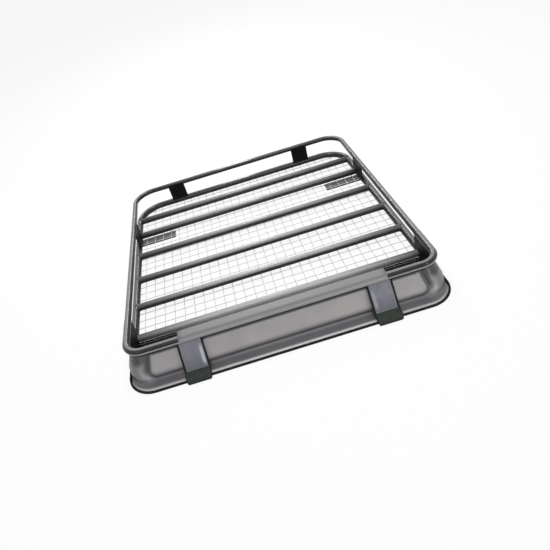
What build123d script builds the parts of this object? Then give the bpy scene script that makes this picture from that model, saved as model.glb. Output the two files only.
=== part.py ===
from build123d import *
from math import cos, radians, sin
import os

# A steel roof rack: two bent tube hoops, cross bars over a welded wire floor,
# a moulded wind deflector round the front, and four brackets under the floor.
# Millimetres. X is the width, the front of the rack faces -Y, and the ground is z = 0.

# Driving dimensions
overall_length = 1350.0
overall_width = 1250.0
overall_height = 140.0
upper_tube_d = 25.4
lower_tube_d = 32.0
bar_d = 32.0
front_reach = 102.0
side_reach = 23.0
lower_side_reach = 8.3

# Hoops, given by the outer face of their tubes
rear_y = overall_length / 2
rail_front_y = -overall_length / 2 + front_reach
rail_half_w = overall_width / 2 - side_reach
lower_half_w = overall_width / 2 - lower_side_reach
front_corner_r = 75.0
upper_rear_corner_r = 115.0
lower_rear_corner_r = 150.0
bend_steps = 5
wall = 3.0
upper_z = overall_height - wall - upper_tube_d / 2
lower_z = 28.0

# Floor: cross bars let into the lower side rails, wire mesh under them
front_bar_inset = 187.0
rear_bar_insets = (293.0, 143.0)
regular_bays = 4
wire_d = 4.0
wire_gap_x = 130.5
wire_gap_y = 135.6

# Wind deflector: its face tucks in under the rail, and a groove is moulded round it
wing_l = 208.0
trim_r = 5.0
trim_inset = 12.0
foot_reach = 45.0
face_tuck = 8.0
face_rise = 4.0
seal_r = 5.0
seal_drop = 21.0
lip_t = 3.0
foot_corner_r = 95.0
groove_r = 9.0
groove_lift = 3.0
groove_top_inset = 110.0
groove_foot_inset = 80.0
groove_top_z = 96.0
groove_foot_z = 14.0
groove_sides = 6
groove_corner_r = 25.0
flange_inset = 235.0
flange_l = 17.0

# Straps over the deflector, and plates between the rear rails in line with them
strap_inset = 267.0
strap_w = 88.0
strap_t = 4.0
strap_rise = 6.0
strap_bend_run = 24.0
strap_bend_z = 22.0
toe_run = 8.0
toe_z = 16.5
pad_side = 2.0
pad_t = 3.0
pad_nose = 5.0
plate_t = 4.0
plate_seat = 0.3

# Side plates between the rails, and brackets under the floor
side_plate_l = 130.0
front_plate_inset = 148.0
rear_plate_inset = 355.0
bracket_l = 188.0
bracket_w = 56.0
bracket_side_inset = 16.7
front_bracket_inset = 157.0
rear_bracket_inset = 327.0
bracket_t = 4.0
bolt_d = 9.0
bolt_gap = 120.0

# Tube centre lines
upper_r = upper_tube_d / 2
lower_r = lower_tube_d / 2
upper_half = rail_half_w - upper_r
upper_front = rail_front_y + upper_r
upper_rear = rear_y - upper_r
lower_half = lower_half_w - lower_r
lower_front = rail_front_y + lower_r
lower_rear = rear_y - lower_r

# Cross bars: five at one pitch, and the last nearer to the rear
front_bar_y = rail_front_y + front_bar_inset
last_bar_ys = [rear_y - inset for inset in rear_bar_insets]
bar_pitch = (last_bar_ys[0] - front_bar_y) / regular_bays
bar_ys = [front_bar_y + n * bar_pitch for n in range(regular_bays)] + last_bar_ys

# Floor heights, from the bars down
wire_top = lower_z - bar_d / 2
wire_z = wire_top - wire_d / 2
bracket_top = wire_top - wire_d

# Deflector edges: the lip's edge is also the centre line of its trim
wing_end_y = rail_front_y + wing_l
lip_z = trim_r
lip_base = lip_z - lip_t / 2
lip_half_w = overall_width / 2 - trim_r
lip_front_y = -overall_length / 2 + trim_inset + trim_r
face_top_y = upper_front + face_tuck
face_top_z = upper_z - upper_r + face_rise
face_half_w = upper_half - face_tuck
face_top_r = front_corner_r - upper_r - face_tuck
foot_front_y = rail_front_y - foot_reach
lean = (face_top_y - foot_front_y) / (face_top_z - lip_base)
knee_z = lower_z
wrap_half_w = overall_width / 2 - flange_inset
strap_x = overall_width / 2 - strap_inset


def corner_points(x, y, radius, start, z):
    # A quarter bend in equal mitred steps, straight on at both ends
    step = 90 / bend_steps
    reach = radius / cos(radians(step / 2))
    turns = [radians(start + step * (n + 0.5)) for n in range(bend_steps)]
    return [(x + reach * cos(turn), y + reach * sin(turn), z) for turn in turns]


def end_path(half_w, end_y, side_y, radius, z):
    # An open path: up one side, round both corners of one end, back along the other side
    turn = 1 if side_y > end_y else -1
    near = end_y + turn * radius
    right = corner_points(half_w - radius, near, radius, -90 if turn > 0 else 0, z)
    if turn < 0:
        right.reverse()
    left = [(-x, y, z) for x, y, z in reversed(right)]
    return Polyline((-half_w, side_y, z), *left, *right, (half_w, side_y, z))


def strip_along(path, profile):
    # A profile swept along a path, mitred at each step of its bends
    section = Plane(origin=path @ 0, z_dir=path % 0) * profile
    return sweep(section, path=path, transition=Transition.RIGHT)


def rod_between(start, end, radius):
    # A straight round rod
    span = Vector(*end) - Vector(*start)
    return extrude(Plane(origin=start, z_dir=span) * Circle(radius), span.length)


def hoop_pieces(half_w, front_y, end_y, rear_r, z, radius):
    # Bent front and rear tubes joined by straight side tubes
    front_join = front_y + front_corner_r - radius
    rear_join = end_y - rear_r + radius
    front = end_path(half_w, front_y, front_join, front_corner_r - radius, z)
    rear = end_path(half_w, end_y, rear_join, rear_r - radius, z)
    tube = Circle(radius)
    pieces = {"front": strip_along(front, tube), "rear": strip_along(rear, tube)}
    for side, x in (("left", -half_w), ("right", half_w)):
        pieces[side] = rod_between((x, front_join, z), (x, rear_join, z), radius)
    return pieces


def biggest(shape):
    # What is left of a piece once its neighbours are cut away
    return shape.solids().sort_by(SortBy.VOLUME)[-1]


def cross_bar(y, hoop):
    # A round bar with its ends saddled on to the lower hoop
    bar = rod_between((-lower_half, y, lower_z), (lower_half, y, lower_z), bar_d / 2)
    return biggest(bar - hoop)


def plan(half_w, front_y, end_y, z, front_r, rear_r=0):
    # A flat outline seen from above, with its front or all of its corners rounded
    face = Pos(0, (front_y + end_y) / 2) * Rectangle(2 * half_w, end_y - front_y)
    face = fillet(face.vertices().sort_by(Axis.Y)[:2], front_r)
    if rear_r:
        face = fillet(face.vertices().sort_by(Axis.Y)[-2:], rear_r)
    return Pos(0, 0, z) * face


def floor_block():
    # The floor ends under the middle of the lower hoop
    front_r = front_corner_r - lower_r
    rear_r = lower_rear_corner_r - lower_r
    face = plan(lower_half, lower_front, lower_rear, wire_top - wire_d, front_r, rear_r)
    return extrude(face, wire_d)


def floor_mesh(block, y_from, y_to):
    # Welded wires both ways, fused where they cross
    middle = (y_from + y_to) / 2
    centre = (lower_front + lower_rear) / 2
    count_x = int(lower_half // wire_gap_x)
    count_y = int((lower_rear - centre) // wire_gap_y)
    along = [
        Pos(n * wire_gap_x, middle, wire_z) * Box(wire_d, y_to - y_from, wire_d)
        for n in range(-count_x, count_x + 1)
    ]
    rows = [centre + n * wire_gap_y for n in range(-count_y, count_y + 1)]
    across = [
        Pos(0, y, wire_z) * Box(2 * lower_half, wire_d, wire_d)
        for y in rows
        if y_from < y < y_to
    ]
    return (along[0] + along[1:] + across) & block


def face_y(z):
    # How far forward the outside of the face is at a height
    return face_top_y - lean * (face_top_z - z)


def face_levels(inset):
    # Outlines of the deflector's face at its top, at its knee and at its foot
    levels = [
        (face_half_w, face_top_y, face_top_z, face_top_r),
        (lip_half_w, face_y(knee_z), knee_z, foot_corner_r),
        (lip_half_w, foot_front_y, lip_base, foot_corner_r),
    ]
    return [
        plan(half_w - inset, front_y + inset, 0, z, radius - inset)
        for half_w, front_y, z, radius in levels
    ]


def face_block():
    # All that the outside of the face encloses
    return loft(face_levels(0), ruled=True)


def deflector_lip():
    # The flange that flares out from the foot of the face
    return extrude(plan(lip_half_w, lip_front_y, 0, lip_base, foot_corner_r + trim_r), lip_t)


def face_groove():
    # A path just outside the face: down one end, along the foot and up the other end
    slope = Plane(origin=(0, face_top_y, face_top_z), x_dir=(1, 0, 0), z_dir=(0, -1, lean))
    stretch = (1 + lean**2) ** 0.5
    top = (groove_top_z - face_top_z) * stretch
    foot = (groove_foot_z - face_top_z) * stretch
    top_x = overall_width / 2 - groove_top_inset
    foot_x = overall_width / 2 - groove_foot_inset
    corners = [(-top_x, top), (-foot_x, foot), (foot_x, foot), (top_x, top)]
    return slope.offset(groove_lift) * FilletPolyline(*corners, radius=groove_corner_r)


def rail_wrap():
    # The top edge hooks up round the rail; between the straps it rolls on over it to a flange
    path = end_path(upper_half, upper_front, wing_end_y, front_corner_r - upper_r, upper_z)
    inside = plan(face_half_w, face_top_y, rear_y, 0, face_top_r)
    below = Box(2 * overall_width, 2 * overall_length, overall_height)
    below = Pos(0, 0, upper_z - overall_height / 2) * below - extrude(inside, overall_height)
    above = Box(2 * wrap_half_w, 2 * upper_tube_d, overall_height)
    above = Pos(0, upper_front, upper_z + overall_height / 2) * above
    flange_d = upper_r + flange_l
    flange = Box(2 * wrap_half_w, flange_d, wall)
    flange = Pos(0, upper_front + flange_d / 2, overall_height - wall / 2) * flange
    return (strip_along(path, Circle(upper_r + wall)) & (below + above)) + flange


def wind_deflector(rails):
    # A thin moulded shell that wraps round the front corners of the rack
    outer = face_block()
    inner = loft(face_levels(wall), ruled=True)
    path = face_groove()
    ridge = strip_along(path, RegularPolygon(groove_r + wall, groove_sides)) & outer
    valley = strip_along(path, RegularPolygon(groove_r, groove_sides))
    shell = outer + deflector_lip() - inner + ridge - valley
    behind = Pos(0, wing_end_y + overall_length / 2, 0) * Box(
        2 * overall_width, overall_length, 4 * overall_height
    )
    return biggest(shell - behind + rail_wrap() - rails)


def edge_trim(deflector):
    # A rubber bead along the edge of the lip
    path = end_path(lip_half_w, lip_front_y, wing_end_y, foot_corner_r + trim_r, lip_z)
    return biggest(strip_along(path, RegularPolygon(trim_r, 8)) - deflector)


def top_seal():
    # A rubber bead on the face, just under the rail
    z = upper_z - seal_drop
    in_from_rail = upper_front - face_y(z)
    radius = front_corner_r - upper_r + in_from_rail
    path = end_path(upper_half + in_from_rail, face_y(z), wing_end_y, radius, z)
    return biggest(strip_along(path, RegularPolygon(seal_r, 8)) - face_block())


def side_profile(points, x, width):
    # A solid of one width across the rack, from its outline seen from the side as y and z
    face = make_face(Polyline(*[(x - width / 2, y, z) for y, z in points], close=True))
    return extrude(face, width, dir=(1, 0, 0))


def strap_lines():
    # Outer and inner faces of a strap, from the rail down to its toe
    top_z = upper_z - upper_r
    bend_y = lip_front_y + strap_bend_run
    toe_y = lip_front_y - toe_run
    outer_y = face_y(top_z) - strap_rise - strap_t
    outer = [(outer_y, top_z), (bend_y, strap_bend_z), (toe_y, toe_z)]
    inner = [(outer_y + strap_t, top_z), (bend_y + strap_t, strap_bend_z - strap_t)]
    return outer, inner + [(toe_y, toe_z - strap_t)]


def deflector_strap(x, others):
    # A wide strap bent down over the deflector, its edges turned in to the face
    outer, inner = strap_lines()
    strap = side_profile(outer + inner[::-1], x, strap_w)
    edge = [inner[0], (face_top_y, inner[0][1]), (foot_front_y + wall, lip_z), inner[1]]
    for side in (-1, 1):
        strap += side_profile(edge, x + side * (strap_w - strap_t) / 2, strap_t)
    return biggest(strap - others)


def strap_pad(x, others):
    # A rubber boot over the strap's toe, standing on the ground in front of the lip
    outer, inner = strap_lines()
    front = -overall_length / 2
    top = [(outer[1][0], outer[1][1] + pad_t), (outer[2][0], outer[2][1] + pad_t)]
    nose = [(front, toe_z - pad_nose), (front, 0), (lip_front_y + trim_r, 0)]
    under = (inner[1][0], lip_z + lip_t)
    outline = top + nose + [under]
    return biggest(side_profile(outline, x, strap_w + 2 * pad_side) - others)


def rear_plate(x, rails):
    # A flat plate on the inner side of the rear rails
    y = upper_rear - upper_r - plate_t / 2 + plate_seat
    top = upper_z + upper_r / 2
    plate = Pos(x, y, (lower_z + top) / 2) * Box(strap_w, plate_t, top - lower_z)
    return biggest(plate - rails)


def side_plate(x, y, rails):
    # A flat plate between the upper and lower side rails
    plate = Pos(x, y, (lower_z + upper_z) / 2) * Box(plate_t, side_plate_l, upper_z - lower_z)
    return biggest(plate - rails)


def floor_bracket(x, y):
    # A channel under the floor with two bolt holes
    block = Pos(x, y, bracket_top / 2) * Box(bracket_l, bracket_w, bracket_top)
    hollow = Pos(x, y, (bracket_top - bracket_t) / 2) * Box(
        bracket_l, bracket_w - 2 * bracket_t, bracket_top - bracket_t
    )
    bracket = block - hollow
    for side in (-1, 1):
        bracket -= Pos(x + side * bolt_gap / 2, y, 0) * Cylinder(bolt_d / 2, 4 * bracket_top)
    return bracket


parts = {}
upper = hoop_pieces(upper_half, upper_front, upper_rear, upper_rear_corner_r, upper_z, upper_r)
lower = hoop_pieces(lower_half, lower_front, lower_rear, lower_rear_corner_r, lower_z, lower_r)
for place in ("front", "rear", "left", "right"):
    parts[f"upper_rail_{place}"] = upper[place]
    parts[f"lower_rail_{place}"] = lower[place]

bars = [cross_bar(bar_y, list(lower.values())) for bar_y in bar_ys]
for number, bar in enumerate(bars, 1):
    parts[f"cross_bar_{number}"] = bar

block = floor_block()
edges = [lower_front, bar_ys[1], bar_ys[3], lower_rear]
for place, y_from, y_to in zip(("front", "middle", "rear"), edges, edges[1:]):
    parts[f"floor_mesh_{place}"] = floor_mesh(block, y_from, y_to)

front_rails = [hoop[part] for hoop in (upper, lower) for part in ("front", "left", "right")]
deflector = wind_deflector(front_rails)
trim = edge_trim(deflector)
parts["wind_deflector"] = deflector
parts["deflector_edge_trim"] = trim
seal = top_seal()
parts["deflector_top_seal"] = seal

plate_x = lower_half_w - lower_tube_d + plate_t / 2
bracket_x = lower_half_w - bracket_side_inset - bracket_l / 2
plate_ys = {"front": rail_front_y + front_plate_inset, "rear": rear_y - rear_plate_inset}
bracket_ys = {"front": rail_front_y + front_bracket_inset, "rear": rear_y - rear_bracket_inset}
for side, turn in (("left", -1), ("right", 1)):
    strap = deflector_strap(turn * strap_x, [deflector, trim, seal])
    parts[f"front_strap_{side}"] = strap
    parts[f"strap_pad_{side}"] = strap_pad(turn * strap_x, [deflector, trim, strap])
    parts[f"rear_plate_{side}"] = rear_plate(turn * strap_x, [upper["rear"], lower["rear"]])
    for end in ("front", "rear"):
        rails = [hoop[part] for hoop in (upper, lower) for part in (side, end)]
        plate = side_plate(turn * plate_x, plate_ys[end], rails + bars + [deflector, seal])
        parts[f"side_plate_{end}_{side}"] = plate
        parts[f"floor_bracket_{end}_{side}"] = floor_bracket(turn * bracket_x, bracket_ys[end])

os.makedirs("parts", exist_ok=True)
for name, solid in parts.items():
    export_step(solid, f"parts/{name}.step")
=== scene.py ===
import math

import bpy
from mathutils import Matrix, Vector


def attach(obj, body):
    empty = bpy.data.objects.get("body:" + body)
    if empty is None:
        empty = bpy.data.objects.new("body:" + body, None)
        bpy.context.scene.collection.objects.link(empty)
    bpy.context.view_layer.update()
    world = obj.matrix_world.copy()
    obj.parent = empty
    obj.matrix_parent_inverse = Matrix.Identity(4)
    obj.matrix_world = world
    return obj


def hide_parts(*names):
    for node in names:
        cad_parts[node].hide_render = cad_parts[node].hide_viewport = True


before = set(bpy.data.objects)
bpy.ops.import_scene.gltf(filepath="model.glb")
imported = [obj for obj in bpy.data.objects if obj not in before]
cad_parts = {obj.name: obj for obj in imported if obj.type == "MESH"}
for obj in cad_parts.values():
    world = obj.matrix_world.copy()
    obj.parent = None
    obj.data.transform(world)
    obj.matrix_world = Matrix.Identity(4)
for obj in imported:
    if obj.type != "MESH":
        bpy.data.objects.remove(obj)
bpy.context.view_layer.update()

# Sizes in metres, as in the part's source. The front faces -Y and z is 0 at the brackets' feet.
HALF_L = 0.675
UPPER_R = 0.0127
LOWER_R = 0.016
FRONT_CORNER_R = 0.075
UPPER_REAR_CORNER_R = 0.115
LOWER_REAR_CORNER_R = 0.15
UPPER_Z = 0.1243
LOWER_Z = 0.028
UPPER_HALF = 0.602 - UPPER_R
UPPER_FRONT = -0.573 + UPPER_R
UPPER_REAR = HALF_L - UPPER_R
LOWER_HALF = 0.6167 - LOWER_R
LOWER_FRONT = -0.573 + LOWER_R
LOWER_REAR = HALF_L - LOWER_R
BAR_R = 0.016
BAR_YS = (-0.386, -0.194, -0.002, 0.19, 0.382, 0.532)
BAR_END_GAP = 0.004
WIRE_R = 0.0013
WIRE_GAP_X = 0.0435
WIRE_GAP_Y = 0.0452
WIRES_EACH_SIDE = 13
WALL = 0.003
WING_END_Y = -0.365
LIP_HALF_W = 0.62
LIP_FRONT_Y = -0.658
TRIM_R = 0.005
LIP_Z = 0.005
FOOT_FRONT_Y = -0.618
FACE_TOP_Y = -0.5523
FACE_TOP_Z = 0.1156
FACE_LEAN = 0.586
SEAL_Z = 0.1033
SEAL_R = 0.005
STRAP_X = 0.358
STRAP_W = 0.088
STRAP_SHEET = 0.0025
WRAP_HALF_W = 0.39


# Materials


def shader(name, colour, rough, coat, specular):
    material = bpy.data.materials.new(name)
    material.use_nodes = True
    main = material.node_tree.nodes["Principled BSDF"]
    main.inputs["Base Color"].default_value = (*colour, 1.0)
    main.inputs["Roughness"].default_value = rough
    main.inputs["Coat Weight"].default_value = coat
    main.inputs["Coat Roughness"].default_value = 0.06
    main.inputs["Specular IOR Level"].default_value = specular
    return material, main


def grain(material, scale, detail=4.0):
    # A noise pattern in object space, in metres
    nodes, links = material.node_tree.nodes, material.node_tree.links
    place = nodes.new("ShaderNodeTexCoord")
    noise = nodes.new("ShaderNodeTexNoise")
    noise.inputs["Scale"].default_value = scale
    noise.inputs["Detail"].default_value = detail
    links.new(place.outputs["Object"], noise.inputs["Vector"])
    return noise


def tint(material, main, noise, dark, light):
    # The base colour wanders between two tones
    nodes, links = material.node_tree.nodes, material.node_tree.links
    ramp = nodes.new("ShaderNodeValToRGB")
    ramp.color_ramp.elements[0].position = 0.35
    ramp.color_ramp.elements[0].color = (*dark, 1.0)
    ramp.color_ramp.elements[1].position = 0.65
    ramp.color_ramp.elements[1].color = (*light, 1.0)
    links.new(noise.outputs["Fac"], ramp.inputs["Fac"])
    links.new(ramp.outputs["Color"], main.inputs["Base Color"])


def relief(material, main, noise, depth):
    # A fine bump from a pattern, its depth in metres
    nodes, links = material.node_tree.nodes, material.node_tree.links
    bump = nodes.new("ShaderNodeBump")
    bump.inputs["Strength"].default_value = 0.6
    bump.inputs["Distance"].default_value = depth
    links.new(noise.outputs["Fac"], bump.inputs["Height"])
    links.new(bump.outputs["Normal"], main.inputs["Normal"])


def sheen(material, main, noise, low, high):
    # The roughness wanders between two values
    nodes, links = material.node_tree.nodes, material.node_tree.links
    spread = nodes.new("ShaderNodeMapRange")
    spread.inputs["To Min"].default_value = low
    spread.inputs["To Max"].default_value = high
    links.new(noise.outputs["Fac"], spread.inputs["Value"])
    links.new(spread.outputs["Result"], main.inputs["Roughness"])


def mix_in(material, tone, amount):
    # Another tone over the base colour, by the amount that a socket gives
    nodes, links = material.node_tree.nodes, material.node_tree.links
    base = nodes["Principled BSDF"].inputs["Base Color"]
    mixed = nodes.new("ShaderNodeMix")
    mixed.data_type = "RGBA"
    mixed.inputs["B"].default_value = (*tone, 1.0)
    links.new(base.links[0].from_socket, mixed.inputs["A"])
    links.new(amount, mixed.inputs["Factor"])
    links.new(mixed.outputs["Result"], base)


def painted(name, dark, light, rough, scale=60.0, coat=0.3, specular=0.5):
    # Paint or plastic whose tone and gloss wander between two values, with a fine bump
    material, main = shader(name, light, rough[0], coat, specular)
    fine = grain(material, 900.0, detail=2.0)
    tint(material, main, grain(material, scale), dark, light)
    sheen(material, main, grain(material, scale / 2), *rough)
    relief(material, main, fine, 0.00008)
    return material


def painted_light_layer(material, tone, name="shade"):
    # A layer of the mesh itself mixes another tone in, for painted shade and painted highlights
    layer = material.node_tree.nodes.new("ShaderNodeAttribute")
    layer.attribute_name = name
    mix_in(material, tone, layer.outputs["Fac"])


def ramped(nodes, links, value, low, high, to_low=0.0, to_high=1.0):
    # A smooth change from one value to another as the input goes from low to high
    spread = nodes.new("ShaderNodeMapRange")
    spread.interpolation_type = "SMOOTHSTEP"
    spread.inputs["From Min"].default_value = low
    spread.inputs["From Max"].default_value = high
    spread.inputs["To Min"].default_value = to_low
    spread.inputs["To Max"].default_value = to_high
    links.new(value, spread.inputs["Value"])
    return spread.outputs["Result"]


def combined(nodes, links, operation, *values):
    # One step of arithmetic on the values of some sockets
    math_node = nodes.new("ShaderNodeMath")
    math_node.operation = operation
    for slot, value in enumerate(values):
        links.new(value, math_node.inputs[slot])
    return math_node.outputs[0]


def painted_shade_in_front(material, tone, start, end):
    # Painted shade: another tone in front of a place along the rack, where the front rail shades it
    nodes, links = material.node_tree.nodes, material.node_tree.links
    place = nodes.new("ShaderNodeTexCoord")
    spot = nodes.new("ShaderNodeSeparateXYZ")
    links.new(place.outputs["Object"], spot.inputs["Vector"])
    mix_in(material, tone, ramped(nodes, links, spot.outputs["Y"], start, end, 1.0, 0.0))


# Where the painted light on one side of a tube begins to fade, and where it is down to its share
FADE_TO_REAR = (-0.4, 0.55)
FADE_TO_SIDES = (0.22, 0.58)


def painted_light_by_facing(material, top, low, high, rear=1.0, axis="Z", sides=1.0):
    # Painted light and shade: the side of a tube that faces along the axis gets another tone, by
    # the share given at the rear and the sides
    nodes, links = material.node_tree.nodes, material.node_tree.links
    place = nodes.new("ShaderNodeTexCoord")
    normal = nodes.new("ShaderNodeSeparateXYZ")
    links.new(place.outputs["Normal"], normal.inputs["Vector"])
    spot = nodes.new("ShaderNodeSeparateXYZ")
    links.new(place.outputs["Object"], spot.inputs["Vector"])
    facing = ramped(nodes, links, normal.outputs[axis], low, high)
    along = ramped(nodes, links, spot.outputs["Y"], *FADE_TO_REAR, 1.0, rear)
    reach = combined(nodes, links, "ABSOLUTE", spot.outputs["X"])
    across = ramped(nodes, links, reach, *FADE_TO_SIDES, 1.0, sides)
    share = combined(nodes, links, "MULTIPLY", facing, along)
    mix_in(material, top, combined(nodes, links, "MULTIPLY", share, across))


# Each paint: a dark and a light tone, the range of its roughness, then noise scale, coat, specular
paint = painted(
    "tube_paint", (0.012, 0.012, 0.013), (0.022, 0.022, 0.024), (0.12, 0.2), coat=0.15, specular=0.3
)
# Painted highlight on the upper side of the rails, less of it at the rear
painted_light_by_facing(paint, (0.25, 0.25, 0.254), 0.82, 1.0, 0.5)

BAR_TONES = ((0.014, 0.014, 0.015), (0.024, 0.024, 0.026))
bar_paint = painted("bar_paint", *BAR_TONES, (0.24, 0.36), coat=0.1, specular=0.3)
# Painted highlight on the upper side of the bars, less of it at the rear and the sides
painted_light_by_facing(bar_paint, (0.42, 0.42, 0.425), 0.25, 0.85, 0.35, sides=0.3)
front_bar_paint = painted("front_bar_paint", *BAR_TONES, (0.3, 0.42), coat=0.1, specular=0.3)
# Painted highlights on the front bar's upper side and on its front face
painted_light_by_facing(front_bar_paint, (0.36, 0.36, 0.365), 0.2, 0.85, sides=0.3)
painted_light_by_facing(front_bar_paint, (0.6, 0.59, 0.6), -0.15, -0.6, axis="Y", sides=0.2)

wire_paint = painted("wire_paint", (0.5, 0.5, 0.51), (0.62, 0.62, 0.63), (0.35, 0.5), 150.0)
# Painted shade on the wires in front, under the front rail
painted_shade_in_front(wire_paint, (0.03, 0.03, 0.031), -0.41, -0.398)

moulding = painted(
    "deflector_moulding", (0.42, 0.405, 0.425), (0.485, 0.457, 0.458), (0.34, 0.44), 9.0, 0.15
)
# Painted shade and a painted highlight, from layers of the mesh
painted_light_layer(moulding, (0.016, 0.017, 0.024))
painted_light_layer(moulding, (0.8, 0.81, 0.84), "gleam")
roll_paint = painted(
    "rolled_edge_moulding", (0.46, 0.446, 0.455), (0.51, 0.492, 0.5), (0.45, 0.55), 9.0, 0.0, 0.35
)
# Painted shade on the upper side of the rolled edge
painted_light_by_facing(roll_paint, (0.22, 0.214, 0.22), 0.15, 0.8)

strap_paint = painted(
    "strap_paint", (0.17, 0.175, 0.21), (0.22, 0.225, 0.265), (0.36, 0.46), 30.0, 0.1
)
# Painted shade towards the toe and a painted highlight down the inner edge
painted_light_layer(strap_paint, (0.045, 0.052, 0.058))
painted_light_layer(strap_paint, (0.72, 0.74, 0.8), "gleam")

black_paint = painted(
    "plate_paint", (0.003, 0.003, 0.003), (0.006, 0.006, 0.006), (0.45, 0.6), 40.0, 0.0, 0.12
)
bracket_paint = painted(
    "bracket_paint", (0.09, 0.09, 0.1), (0.13, 0.13, 0.14), (0.45, 0.6), 50.0, 0.0
)
# Painted shade on the front brackets, under the front rail
painted_shade_in_front(bracket_paint, (0.008, 0.008, 0.009), -0.2, -0.1)

black_rubber_and_shade = painted(
    "black_rubber_and_shade", (0.005, 0.006, 0.006), (0.01, 0.012, 0.011), (0.55, 0.75), 80.0, 0.0, 0.15
)
pad_rubber = painted(
    "pad_rubber", (0.008, 0.013, 0.009), (0.018, 0.028, 0.022), (0.5, 0.7), 60.0, 0.0, 0.3
)


# Mesh helpers


def piece(name, verts, faces, material, slot, smooth=True):
    mesh = bpy.data.meshes.new(name)
    mesh.from_pydata([tuple(v) for v in verts], [], faces)
    mesh.update()
    obj = bpy.data.objects.new(name, mesh)
    bpy.context.scene.collection.objects.link(obj)
    mesh.materials.append(material)
    if smooth:
        # The round caps of tubes stay flat
        mesh.polygons.foreach_set("use_smooth", [len(face) < 9 for face in faces])
    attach(obj, "root")
    return obj


def bevel(obj, width, segments=2):
    cut = obj.modifiers.new("edges", "BEVEL")
    cut.width = width
    cut.segments = segments
    cut.limit_method = "ANGLE"
    cut.angle_limit = math.radians(35)


CAP_RING_GAP = 0.001


def tube_mesh(path, radius, sides=40):
    # Rings along a level path, with one close to each cap that keeps the long sides smooth
    near = path[0] + CAP_RING_GAP * (path[1] - path[0]).normalized()
    far = path[-1] + CAP_RING_GAP * (path[-2] - path[-1]).normalized()
    path = [path[0], near, *path[1:-1], far, path[-1]]
    verts, faces = [], []
    last = len(path) - 1
    for n, point in enumerate(path):
        along = (path[min(n + 1, last)] - path[max(n - 1, 0)]).normalized()
        across = along.cross(Vector((0, 0, 1)))
        up = across.cross(along)
        for k in range(sides):
            a = 2 * math.pi * k / sides
            verts.append(point + radius * (math.cos(a) * across + math.sin(a) * up))
    for n in range(last):
        for k in range(sides):
            a, b = n * sides + k, n * sides + (k + 1) % sides
            faces.append((a, b, b + sides, a + sides))
    faces.append(tuple(range(sides - 1, -1, -1)))
    faces.append(tuple(last * sides + k for k in range(sides)))
    return verts, faces


def add_mesh(total, part):
    # One more part in a mesh of several
    verts, faces = total
    base = len(verts)
    verts.extend(part[0])
    faces.extend(tuple(base + i for i in face) for face in part[1])


def arc_points(cx, cy, radius, start, end, z):
    # A level arc between two angles in degrees
    steps = 24
    points = []
    for n in range(steps + 1):
        a = math.radians(start + (end - start) * n / steps)
        points.append(Vector((cx + radius * math.cos(a), cy + radius * math.sin(a), z)))
    return points


def end_points(half, end_y, radius, z, turn):
    # Round both corners of one end, turn is 1 at the front and -1 at the rear
    near = end_y + turn * radius
    flat = half - radius
    left = arc_points(-flat, near, radius, 180, 180 + turn * 90, z)
    right = arc_points(flat, near, radius, -turn * 90, 0, z)
    return left + right


# Rails


def hoop(level, half, front, rear, rear_corner, z, radius):
    # A hoop rail in four lengths: both ends with their bends, and the two straight sides
    front_r, rear_r = FRONT_CORNER_R - radius, rear_corner - radius
    front_path = end_points(half, front, front_r, z, 1)
    rear_path = end_points(half, rear, rear_r, z, -1)
    for place, path in (("front", front_path), ("rear", rear_path)):
        tube = piece(f"{level}_rail_{place}_tube", *tube_mesh(path, radius), paint, "rail_tube")
        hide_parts(f"{level}_rail_{place}")
    for side, x in (("left", -half), ("right", half)):
        path = [Vector((x, front + front_r, z)), Vector((x, rear - rear_r, z))]
        tube = piece(f"{level}_rail_{side}_tube", *tube_mesh(path, radius), paint, "rail_tube")
        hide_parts(f"{level}_rail_{side}")


hoop("upper", UPPER_HALF, UPPER_FRONT, UPPER_REAR, UPPER_REAR_CORNER_R, UPPER_Z, UPPER_R)
hoop("lower", LOWER_HALF, LOWER_FRONT, LOWER_REAR, LOWER_REAR_CORNER_R, LOWER_Z, LOWER_R)


# Cross bars, with a weld bead round each end


def bar_end(y):
    # Where the middle of a bar meets the middle of the lower hoop
    radius = LOWER_REAR_CORNER_R - LOWER_R
    corner_y = LOWER_REAR - radius
    if y <= corner_y:
        return LOWER_HALF
    return LOWER_HALF - radius + math.sqrt(radius**2 - (y - corner_y) ** 2)


def weld_bead(x, y, side):
    # A bead that follows the saddle between a bar and the lower side rail, a little uneven
    radius, steps, ring = 0.0028, 36, 8
    verts, faces = [], []
    for n in range(steps):
        a = 2 * math.pi * n / steps
        dy, dz = BAR_R * math.cos(a), BAR_R * math.sin(a)
        reach = math.sqrt(max(LOWER_R**2 - dz**2, 0.0))
        centre = Vector((x - side * reach, y + dy, LOWER_Z + dz))
        out = Vector((0, math.cos(a), math.sin(a)))
        swell = radius * (1 + 0.12 * math.sin(7 * a))
        for k in range(ring):
            b = 2 * math.pi * k / ring
            verts.append(centre + swell * (math.cos(b) * out + math.sin(b) * Vector((1, 0, 0))))
    for n in range(steps):
        for k in range(ring):
            a, b = n * ring + k, n * ring + (k + 1) % ring
            c, d = (n + 1) % steps * ring + k, (n + 1) % steps * ring + (k + 1) % ring
            faces.append((a, b, d, c))
    return verts, faces


for number, y in enumerate(BAR_YS, 1):
    half = bar_end(y) - BAR_END_GAP
    path = [Vector((-half, y, LOWER_Z)), Vector((half, y, LOWER_Z))]
    tone = front_bar_paint if number == 1 else bar_paint
    bar = piece(f"cross_bar_{number}_tube", *tube_mesh(path, BAR_R - 0.0001), tone, "cross_tube")
    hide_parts(f"cross_bar_{number}")
    beads = ([], [])
    for side in (-1, 1):
        add_mesh(beads, weld_bead(side * bar_end(y), y, side))
    piece(f"cross_bar_{number}_welds", *beads, bar_paint, "cross_tube")


# Floor of welded wire at its full density


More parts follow.
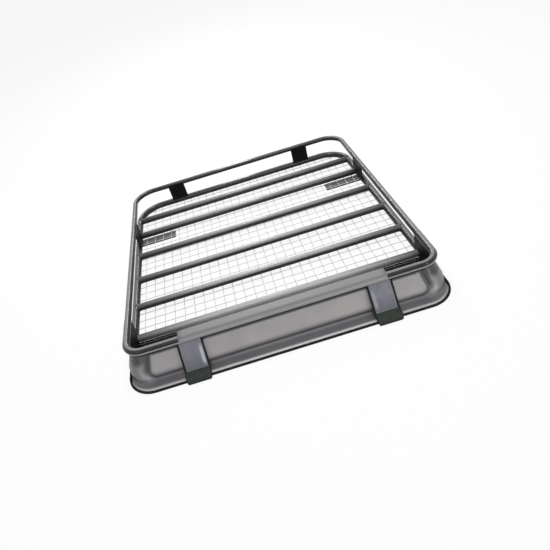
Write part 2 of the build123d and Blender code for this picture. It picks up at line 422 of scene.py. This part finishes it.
def floor_end(x, front):
    # Where a wire along the rack ends under the lower hoop
    radius = (FRONT_CORNER_R if front else LOWER_REAR_CORNER_R) - LOWER_R
    end = LOWER_FRONT if front else LOWER_REAR
    turn = 1 if front else -1
    past = abs(x) - (LOWER_HALF - radius)
    if past <= 0:
        return end
    return end + turn * (radius - math.sqrt(radius**2 - past**2))


def floor_side(y):
    # Half the length of a wire across the rack
    front_r, rear_r = FRONT_CORNER_R - LOWER_R, LOWER_REAR_CORNER_R - LOWER_R
    for radius, centre, turn in (
        (front_r, LOWER_FRONT + front_r, -1),
        (rear_r, LOWER_REAR - rear_r, 1),
    ):
        past = turn * (y - centre)
        if past > 0:
            return LOWER_HALF - radius + math.sqrt(max(radius**2 - past**2, 0.0))
    return LOWER_HALF


ALONG_Z = LOWER_Z - BAR_R - WIRE_R
ACROSS_Z = ALONG_Z - 1.6 * WIRE_R
mesh_floor = ([], [])
for n in range(-WIRES_EACH_SIDE, WIRES_EACH_SIDE + 1):
    x = n * WIRE_GAP_X
    path = [Vector((x, floor_end(x, True), ALONG_Z)), Vector((x, floor_end(x, False), ALONG_Z))]
    add_mesh(mesh_floor, tube_mesh(path, WIRE_R, 10))
floor_centre = (LOWER_FRONT + LOWER_REAR) / 2
for n in range(-WIRES_EACH_SIDE, WIRES_EACH_SIDE + 1):
    y = floor_centre + n * WIRE_GAP_Y
    half = floor_side(y)
    path = [Vector((-half, y, ACROSS_Z)), Vector((half, y, ACROSS_Z))]
    add_mesh(mesh_floor, tube_mesh(path, WIRE_R, 10))
wires = piece("floor_wires", *mesh_floor, wire_paint, "wire")
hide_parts("floor_mesh_front", "floor_mesh_middle", "floor_mesh_rear")


# Wind deflector


def blend(a, b, t):
    return a + (b - a) * t


def peak(value, middle, width):
    # A bell curve, 1 at its middle
    return math.exp(-(((value - middle) / width) ** 2))


def smooth_step(t):
    t = min(max(t, 0.0), 1.0)
    return t * t * (3 - 2 * t)


# Outline of the face at a height: half width, front, corner radius and height
TOP = (0.5813, FACE_TOP_Y, 0.0543, FACE_TOP_Z)
KNEE = (LIP_HALF_W, FACE_TOP_Y - FACE_LEAN * (FACE_TOP_Z - LOWER_Z), 0.095, LOWER_Z)
FOOT = (LIP_HALF_W, FOOT_FRONT_Y, 0.095, LIP_Z)
EDGE = (LIP_HALF_W, LIP_FRONT_Y, 0.1, LIP_Z)

# Steps round the outline, and the share of the front beside each groove
WING_STEPS = 30
CORNER_STEPS = 40
FRONT_STEPS = 60
GROOVE_SHARE = 0.12


def outline_columns():
    # Places round the front: wing, corner, front and back again, closer together near the grooves
    near = [GROOVE_SHARE * n / FRONT_STEPS for n in range(FRONT_STEPS)]
    between = 1 - 2 * GROOVE_SHARE
    middle = [GROOVE_SHARE + between * n / FRONT_STEPS for n in range(FRONT_STEPS + 1)]
    front = near + middle + [1 - t for t in reversed(near)]
    columns = [("wing", -1, n / WING_STEPS) for n in range(WING_STEPS)]
    columns += [("corner", -1, n / CORNER_STEPS) for n in range(CORNER_STEPS)]
    columns += [("front", 0, t) for t in front]
    columns += [("corner", 1, 1 - n / CORNER_STEPS) for n in range(1, CORNER_STEPS + 1)]
    columns += [("wing", 1, 1 - n / WING_STEPS) for n in range(1, WING_STEPS + 1)]
    return columns


def sparse_columns(step):
    # The same places, with fewer of them along the front
    return [c for n, c in enumerate(outline_columns()) if c[0] != "front" or n % step == 0]


def outline_point(level, column):
    half, front, radius, z = level
    kind, side, t = column
    if kind == "wing":
        return Vector((side * half, blend(WING_END_Y, front + radius, t), z))
    if kind == "corner":
        a = math.radians(90 * t)
        x = half - radius + radius * math.cos(a)
        return Vector((side * x, front + radius - radius * math.sin(a), z))
    return Vector((blend(-(half - radius), half - radius, t), front, z))


def level_at(a, b, t):
    return tuple(blend(p, q, t) for p, q in zip(a, b))


GROOVE_TOP_X = 0.513
GROOVE_FOOT_X = 0.545
GROOVE_TOP_Z = 0.12
GROOVE_FOOT_Z = 0.016
GROOVE_CORNER = 0.034
GROOVE_DEPTH = 0.0095
# Into the face, square to its lean
INTO_FACE = Vector((0, 0.863, -0.506))

# Steps of the face, of the fillet at its foot and of the lip, and where the fillet begins
FACE_STEPS = 70
FILLET_STEPS = 6
LIP_STEPS = 20
FACE_END = 0.955
LIP_START = 0.2
LIP_BEAD_HEIGHT = 0.0032

# Shares of the painted shade on the moulding
LIP_SHADE = 0.7
WING_SHADE = 0.54
CORNER_SHADE = 0.85
UNDER_RAIL_SHADE = 0.92
MOST_SIDE_SHADE = 0.95


def groove_distance(x, z):
    # Distance from the groove's line, which runs down, along and up again
    x = abs(x)
    lean = (GROOVE_FOOT_X - GROOVE_TOP_X) / (GROOVE_TOP_Z - GROOVE_FOOT_Z)
    leg = (x - GROOVE_FOOT_X + lean * (z - GROOVE_FOOT_Z)) / math.hypot(1, lean)
    foot = 1.16 * (GROOVE_FOOT_Z - z)
    # Both are negative on the face, and the corner between them is rounded
    inside_leg, inside_foot = -leg - GROOVE_CORNER, -foot - GROOVE_CORNER
    if inside_leg < 0 and inside_foot < 0:
        return GROOVE_CORNER - math.hypot(inside_leg, inside_foot)
    return -max(leg, foot)


def groove_depth(column, point):
    # How deep the groove is at a place, as a share, with one flank softer than the other
    if column[0] == "wing":
        return 0.0
    gap = groove_distance(point.x, point.z)
    width = 0.0085 if gap > 0 else 0.013
    return peak(gap, 0.0, width) * smooth_step((0.605 - abs(point.x)) / 0.03)


def groove_painted_shade(column, point):
    # Painted shade: the groove's dark tone reaches past its flanks, and the corners are dark under
    # the rail
    x = abs(point.x)
    wing = WING_SHADE * smooth_step((x - 0.55) / 0.04)
    corner = smooth_step((x - 0.505) / 0.03) * (1 - 0.35 * smooth_step((x - 0.58) / 0.03))
    high = smooth_step((point.z - 0.048) / 0.032)
    side = min(wing + CORNER_SHADE * corner * high, MOST_SIDE_SHADE)
    under_rail = UNDER_RAIL_SHADE * smooth_step((point.z - 0.0905) / 0.005)
    foot = LIP_SHADE * smooth_step((0.026 - point.z) / 0.012)
    flat = max(side, under_rail, foot)
    if column[0] == "wing":
        return flat
    gap = groove_distance(point.x, point.z)
    foot_share = smooth_step((0.05 - point.z) / 0.025)
    inner = 0.011 + 0.009 * foot_share
    width = inner if gap > 0 else 0.023 - 0.01 * foot_share
    groove = blend(0.96, 0.8, foot_share) * peak(gap, 0.0, width)
    return max(groove * smooth_step((0.615 - x) / 0.03), flat)


def face_point(t, column):
    # A point of the face, t from the top to the foot, with its groove
    knee = (FACE_TOP_Z - LOWER_Z) / (FACE_TOP_Z - LIP_Z)
    if t < knee:
        level = level_at(TOP, KNEE, t / knee)
    else:
        level = level_at(KNEE, FOOT, (t - knee) / (1 - knee))
    point = outline_point(level, column)
    return point + GROOVE_DEPTH * groove_depth(column, point) * INTO_FACE


def deflector_rows():
    # Face, a fillet at its foot, and the lip
    rows = []
    columns = outline_columns()
    for n in range(FACE_STEPS + 1):
        rows.append([face_point(FACE_END * n / FACE_STEPS, column) for column in columns])
    for n in range(1, FILLET_STEPS + 1):
        t = n / FILLET_STEPS
        row = []
        for column in columns:
            start = face_point(FACE_END, column)
            corner = outline_point(FOOT, column)
            end = outline_point(level_at(FOOT, EDGE, LIP_START), column)
            row.append((1 - t) ** 2 * start + 2 * t * (1 - t) * corner + t * t * end)
        rows.append(row)
    for n in range(1, LIP_STEPS + 1):
        # The lip carries a low bead beside its edge
        t = n / LIP_STEPS
        level = level_at(FOOT, EDGE, blend(LIP_START, 1.0, t))
        lift = LIP_BEAD_HEIGHT * peak(t, 0.66, 0.16)
        rows.append([outline_point(level, column) + Vector((0, 0, lift)) for column in columns])
    return rows


def deflector_painted_shades():
    # The painted shade's share for each vertex of the rows
    shades = []
    columns = outline_columns()
    for n in range(FACE_STEPS + 1):
        for column in columns:
            shades.append(groove_painted_shade(column, face_point(FACE_END * n / FACE_STEPS, column)))
    foot = shades[-len(columns):]
    for n in range(1, FILLET_STEPS + 1):
        shades.extend(blend(value, LIP_SHADE, n / FILLET_STEPS) for value in foot)
    for n in range(1, LIP_STEPS + 1):
        t = n / LIP_STEPS
        dark = LIP_SHADE * (1 - smooth_step((t - 0.32) / 0.16))
        line = max(dark, 0.9 * peak(t, 0.99, 0.06))
        shades.extend([line] * len(columns))
    return shades


def deflector_painted_gleams():
    # Painted highlight on the bead of the lip, most of all in its middle
    columns = outline_columns()
    gleams = [0.0] * ((FACE_STEPS + 1 + FILLET_STEPS) * len(columns))
    for n in range(1, LIP_STEPS + 1):
        t = n / LIP_STEPS
        line = peak(t, 0.7, 0.19)
        for column in columns:
            x = outline_point(EDGE, column).x
            gleams.append(line * (0.25 + 0.45 * (1 - smooth_step((abs(x) - 0.1) / 0.4))))
    return gleams


def grid(rows):
    width = len(rows[0])
    verts = [point for row in rows for point in row]
    faces = []
    for r in range(len(rows) - 1):
        for c in range(width - 1):
            a = r * width + c
            faces.append((a, a + width, a + width + 1, a + 1))
    return verts, faces


def add_layer(obj, name, values):
    layer = obj.data.attributes.new(name, "FLOAT", "POINT")
    layer.data.foreach_set("value", values)


def thicken(obj, depth):
    # A wall on the inner side of a sheet
    shell = obj.modifiers.new("wall", "SOLIDIFY")
    shell.thickness = depth
    shell.offset = -1.0


deflector = piece("wind_deflector_moulding", *grid(deflector_rows()), moulding, "deflector")
# Layers of painted shade and painted highlight
add_layer(deflector, "shade", deflector_painted_shades())
add_layer(deflector, "gleam", deflector_painted_gleams())
thicken(deflector, WALL)
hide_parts("wind_deflector")


def rail_level(out, z):
    # The upper rail's own outline, that far outside its middle line
    return (UPPER_HALF + out, UPPER_FRONT - out, FRONT_CORNER_R - UPPER_R + out, z)


ROLL_STEPS = 18
HOOK_TURN = 112


def hook_rows():
    # The top edge hooks up round the outside of the rail
    radius = UPPER_R + WALL
    columns = sparse_columns(10)
    rows = []
    for n in range(ROLL_STEPS + 1):
        a = math.radians(180 + HOOK_TURN * n / ROLL_STEPS)
        level = rail_level(-radius * math.cos(a), UPPER_Z + radius * math.sin(a))
        rows.append([outline_point(level, column) for column in columns])
    return rows


def roll_rows():
    # Between the straps the edge rolls on over the front rail and is flanged back
    radius, flat, bend = UPPER_R + WALL, 0.0265, 0.003
    top = UPPER_Z + radius
    profile = []
    for n in range(ROLL_STEPS + 1):
        a = math.radians(180 - 90 * n / ROLL_STEPS)
        profile.append((UPPER_FRONT + radius * math.cos(a), UPPER_Z + radius * math.sin(a)))
    for n in range(1, 7):
        profile.append((UPPER_FRONT + flat * n / 6, top))
    for n in range(1, 7):
        a = math.radians(90 - 12 * n)
        y = UPPER_FRONT + flat + bend * math.cos(a)
        profile.append((y, top - bend + bend * math.sin(a)))
    xs = [blend(-WRAP_HALF_W, WRAP_HALF_W, n / 40) for n in range(41)]
    return [[Vector((x, y, z)) for y, z in profile] for x in xs]


ROLLED_WALL = WALL * 0.95
hook = piece("wind_deflector_hook", *grid(hook_rows()), roll_paint, "deflector")
thicken(hook, ROLLED_WALL)
roll = piece("wind_deflector_rolled_edge", *grid(roll_rows()), roll_paint, "deflector")
thicken(roll, ROLLED_WALL)


# Rubber bead under the rail, set low so that its black also stands for the shade under the rail

seal_out = UPPER_FRONT - FACE_TOP_Y + FACE_LEAN * (FACE_TOP_Z - SEAL_Z)
seal_level = rail_level(seal_out, SEAL_Z)
seal_path = [outline_point(seal_level, column) for column in sparse_columns(20)]
seal = piece("deflector_top_rubber_and_shade", *tube_mesh(seal_path, SEAL_R, 16), black_rubber_and_shade, "trim")
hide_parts("deflector_top_seal")


# Rubber trim along the lip

trim_path = [outline_point(EDGE, column) for column in sparse_columns(20)]
trim = piece("deflector_edge_rubber", *tube_mesh(trim_path, TRIM_R * 0.99, 20), black_rubber_and_shade, "trim")
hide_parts("deflector_edge_trim")


# Straps and their pads


def strap_profile():
    # Outer line of a strap from the rail to its toe
    head, bend_start, bend_corner = (-0.5646, 0.1116), (-0.6285, 0.0304), (-0.634, 0.022)
    bend_end, toe = (-0.6425, 0.0205), (-0.664, 0.0169)
    line = [level_at(head, bend_start, n / 12) for n in range(12)]
    for n in range(11):
        # A bend between the steep part and the toe
        t = n / 10
        parts = zip(bend_start, bend_corner, bend_end)
        line.append(tuple((1 - t) ** 2 * p + 2 * t * (1 - t) * q + t * t * r for p, q, r in parts))
    return line + [toe]


def strap_rows(x):
    # The sheet of a strap with both edges turned back, in rows from the rail to the toe
    rows = []
    half, corner, edge_depth = STRAP_W / 2, 0.007, 0.0105
    turned = [(half - corner - 0.003 * n, 0.0) for n in range(9, 0, -1)]
    for n in range(7):
        a = math.radians(90 * n / 6)
        turned.append((half - corner + corner * math.sin(a), corner * (1 - math.cos(a))))
    turned.append((half, edge_depth))
    across = [(-dx, back) for dx, back in reversed(turned)] + turned
    for y, z in strap_profile():
        rows.append([Vector((x + dx, y + back * 0.9, z - back * 0.42)) for dx, back in across])
    return rows


# Painted highlight: the left strap faces the light more than the right one
GLEAM_OF_STRAP = {-1: 0.85, 1: 0.35}


def strap_tones(strap, turn):
    # Painted shade darker towards the toe, with a painted highlight down the edge that faces the
    # middle
    shades, gleams = [], []
    for vertex in strap.data.vertices:
        x, z = turn * vertex.co.x - STRAP_X + STRAP_W / 2, vertex.co.z
        shades.append(0.6 * (1 - smooth_step((z - 0.02) / 0.06)))
        reach = smooth_step((z - 0.03) / 0.015) * (1 - smooth_step((z - 0.075) / 0.025))
        gleams.append(GLEAM_OF_STRAP[turn] * reach * peak(x, 0.011, 0.005))
    add_layer(strap, "shade", shades)
    add_layer(strap, "gleam", gleams)


for side, turn in (("left", -1), ("right", 1)):
    sheet = grid(strap_rows(turn * STRAP_X))
    strap = piece(f"front_strap_{side}_sheet", *sheet, strap_paint, "strap")
    strap_tones(strap, turn)
    thicken(strap, STRAP_SHEET)
    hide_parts(f"front_strap_{side}")


def strap_edge_shade_bead(x):
    # A black bead down one edge of a strap, standing for the shade on the strap's side
    path = [Vector((x, y + 0.0015, z - 0.001)) for y, z in strap_profile()]
    ring = 10
    last = len(path) - 1
    verts, faces = [], []
    for point in path:
        for k in range(ring):
            a = 2 * math.pi * k / ring
            up = math.sin(a)
            verts.append(point + Vector((0.004 * math.cos(a), 0.0021 * up, 0.0014 * up)))
    for n in range(last):
        for k in range(ring):
            a, b = n * ring + k, n * ring + (k + 1) % ring
            faces.append((a, b, b + ring, a + ring))
    faces.append(tuple(range(ring - 1, -1, -1)))
    faces.append(tuple(last * ring + k for k in range(ring)))
    return verts, faces


# Black beads down the straps' edges, for painted shade
for side, turn in (("left", -1), ("right", 1)):
    beads = ([], [])
    for edge in (-1, 1):
        add_mesh(beads, strap_edge_shade_bead(turn * STRAP_X + edge * (STRAP_W / 2 + 0.0005)))
    piece(f"front_strap_{side}_shade_edging", *beads, black_rubber_and_shade, "trim")


def block(x0, x1, outline):
    # A block across the rack from its outline seen from the side, its two ends rounded off
    count = len(outline)
    middle_y = sum(y for y, z in outline) / count
    middle_z = sum(z for y, z in outline) / count
    steps, reach, drop = 5, 0.008, 0.3
    ends = []
    for n in range(steps + 1):
        a = math.radians(90 * n / steps)
        ends.append((reach * (1 - math.cos(a)), 1 - drop * (1 - math.sin(a))))
    stations = [(x0 + inset, share) for inset, share in ends]
    stations += [(x1 - inset, share) for inset, share in reversed(ends)]
    verts = []
    for x, share in stations:
        for y, z in outline:
            verts.append((x, blend(middle_y, y, share), blend(middle_z, z, share)))
    last = (len(stations) - 1) * count
    faces = [tuple(range(count)), tuple(range(last + count - 1, last - 1, -1))]
    for r in range(len(stations) - 1):
        for n in range(count):
            m = (n + 1) % count
            a = r * count
            faces.append((a + n, a + n + count, a + m + count, a + m))
    return verts, faces


PAD = [
    (-0.632, 0.026),
    (-0.64, 0.024),
    (-0.666, 0.0195),
    (-0.6745, 0.0115),
    (-0.6745, 0.0005),
    (-0.654, 0.0005),
    (-0.63, 0.009),
]
for side, turn in (("left", -1), ("right", 1)):
    x = turn * STRAP_X
    half = STRAP_W / 2 + 0.002
    solid = block(x - half, x + half, PAD)
    pad = piece(f"strap_pad_{side}_rubber", *solid, pad_rubber, "trim", False)
    bevel(pad, 0.0015, 3)
    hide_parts(f"strap_pad_{side}")


# Plates and brackets keep their CAD meshes

for name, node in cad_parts.items():
    if name.startswith(("rear_plate", "side_plate", "floor_bracket")):
        node.data.materials.clear()
        node.data.materials.append(bracket_paint if name.startswith("floor") else black_paint)
        # The bevel needs the corners of the mesh to be joined
        weld = node.modifiers.new("weld", "WELD")
        weld.merge_threshold = 0.00001
        bevel(node, 0.0006)


# Stage


def seen(nodes, links):
    # One for the rays that show the background itself
    path = nodes.new("ShaderNodeLightPath")
    total = path.outputs["Is Camera Ray"]
    for ray in ("Is Glossy Ray", "Is Transmission Ray"):
        either = nodes.new("ShaderNodeMath")
        either.operation = "MAXIMUM"
        links.new(total, either.inputs[0])
        links.new(path.outputs[ray], either.inputs[1])
        total = either.outputs[0]
    return total


white = bpy.data.materials.new("studio_floor")
white.use_nodes = True
nodes, links = white.node_tree.nodes, white.node_tree.links
# Lit a little by the lamps so that the rack keeps its shadow, and grey for the light it throws back
ground = nodes["Principled BSDF"]
ground.inputs["Base Color"].default_value = (0.93, 0.93, 0.93, 1.0)
ground.inputs["Roughness"].default_value = 0.9
ground.inputs["Specular IOR Level"].default_value = 0.0
dull = nodes.new("ShaderNodeBsdfDiffuse")
dull.inputs["Color"].default_value = (0.35, 0.35, 0.35, 1.0)
glow = nodes.new("ShaderNodeEmission")
glow.inputs["Color"].default_value = (1.0, 1.0, 1.0, 1.0)
glow.inputs["Strength"].default_value = 1.0
paper = nodes.new("ShaderNodeMixShader")
path = nodes.new("ShaderNodeLightPath")
share = nodes.new("ShaderNodeMath")
share.operation = "MULTIPLY"
share.inputs[1].default_value = 0.9
links.new(path.outputs["Is Camera Ray"], share.inputs[0])
links.new(share.outputs[0], paper.inputs["Fac"])
links.new(ground.outputs["BSDF"], paper.inputs[1])
links.new(glow.outputs["Emission"], paper.inputs[2])
mixed = nodes.new("ShaderNodeMixShader")
links.new(seen(nodes, links), mixed.inputs["Fac"])
links.new(dull.outputs["BSDF"], mixed.inputs[1])
links.new(paper.outputs["Shader"], mixed.inputs[2])
links.new(mixed.outputs["Shader"], nodes["Material Output"].inputs["Surface"])
bpy.ops.mesh.primitive_plane_add(size=80, location=(0, 0, 0))
floor = bpy.context.object
floor.name = "studio_floor"
floor.data.materials.append(white)

world = bpy.data.worlds.new("studio")
bpy.context.scene.world = world
world.use_nodes = True
nodes, links = world.node_tree.nodes, world.node_tree.links
dim = nodes["Background"]
dim.inputs["Color"].default_value = (1.0, 1.0, 1.0, 1.0)
dim.inputs["Strength"].default_value = 0.3
bright = nodes.new("ShaderNodeBackground")
bright.inputs["Color"].default_value = (1.0, 1.0, 1.0, 1.0)
bright.inputs["Strength"].default_value = 1.0
mixed = nodes.new("ShaderNodeMixShader")
links.new(seen(nodes, links), mixed.inputs["Fac"])
links.new(dim.outputs["Background"], mixed.inputs[1])
links.new(bright.outputs["Background"], mixed.inputs[2])
links.new(mixed.outputs["Shader"], nodes["World Output"].inputs["Surface"])


def softbox(name, place, aim, size, power):
    # A rectangular lamp that faces a point
    lamp = bpy.data.lights.new(name, "AREA")
    lamp.shape = "RECTANGLE"
    lamp.size, lamp.size_y = size
    lamp.energy = power
    obj = bpy.data.objects.new(name, lamp)
    bpy.context.scene.collection.objects.link(obj)
    obj.location = place
    obj.rotation_euler = (Vector(aim) - Vector(place)).to_track_quat("-Z", "Y").to_euler()


softbox("overhead_softbox", (0.2, 0.6, 3.3), (0, 0, 0), (2.0, 2.0), 36)
softbox("long_softbox", (0.0, 2.5, 2.2), (0.0, 2.5, 0), (0.35, 4.0), 80)
softbox("front_softbox", (0.2, -3.0, 2.4), (0, -0.4, 0), (1.8, 0.8), 27)
softbox("left_strip_softbox", (-2.4, -3.0, 0.8), (0.3, -0.6, 0), (0.3, 1.3), 3)
softbox("right_strip_softbox", (2.4, -3.0, 0.8), (-0.3, -0.6, 0), (0.3, 1.3), 15)


# Camera, solved from the photograph's rails, bars and printed sizes

PHOTO_SIZE = 550
FOCAL_PIXELS = 467.13
CENTRE_PIXEL = (269.76, 275.25)
SENSOR = 36.0

camera = bpy.data.cameras.new("camera")
camera.sensor_width = SENSOR
camera.lens = FOCAL_PIXELS / PHOTO_SIZE * SENSOR
camera.shift_x = (PHOTO_SIZE / 2 - CENTRE_PIXEL[0]) / PHOTO_SIZE
camera.shift_y = (CENTRE_PIXEL[1] - PHOTO_SIZE / 2) / PHOTO_SIZE
eye = bpy.data.objects.new("camera", camera)
bpy.context.scene.collection.objects.link(eye)
right = Vector((0.9557719, -0.1905899, -0.2239991))
above = Vector((0.2940238, 0.6008531, 0.7433206))
back = right.cross(above)
turn = Matrix((right, above, back)).transposed().to_4x4()
eye.matrix_world = Matrix.Translation((-0.02234, -1.78468, 1.27814)) @ turn
bpy.context.scene.camera = eye
bpy.context.scene.view_settings.view_transform = "Standard"
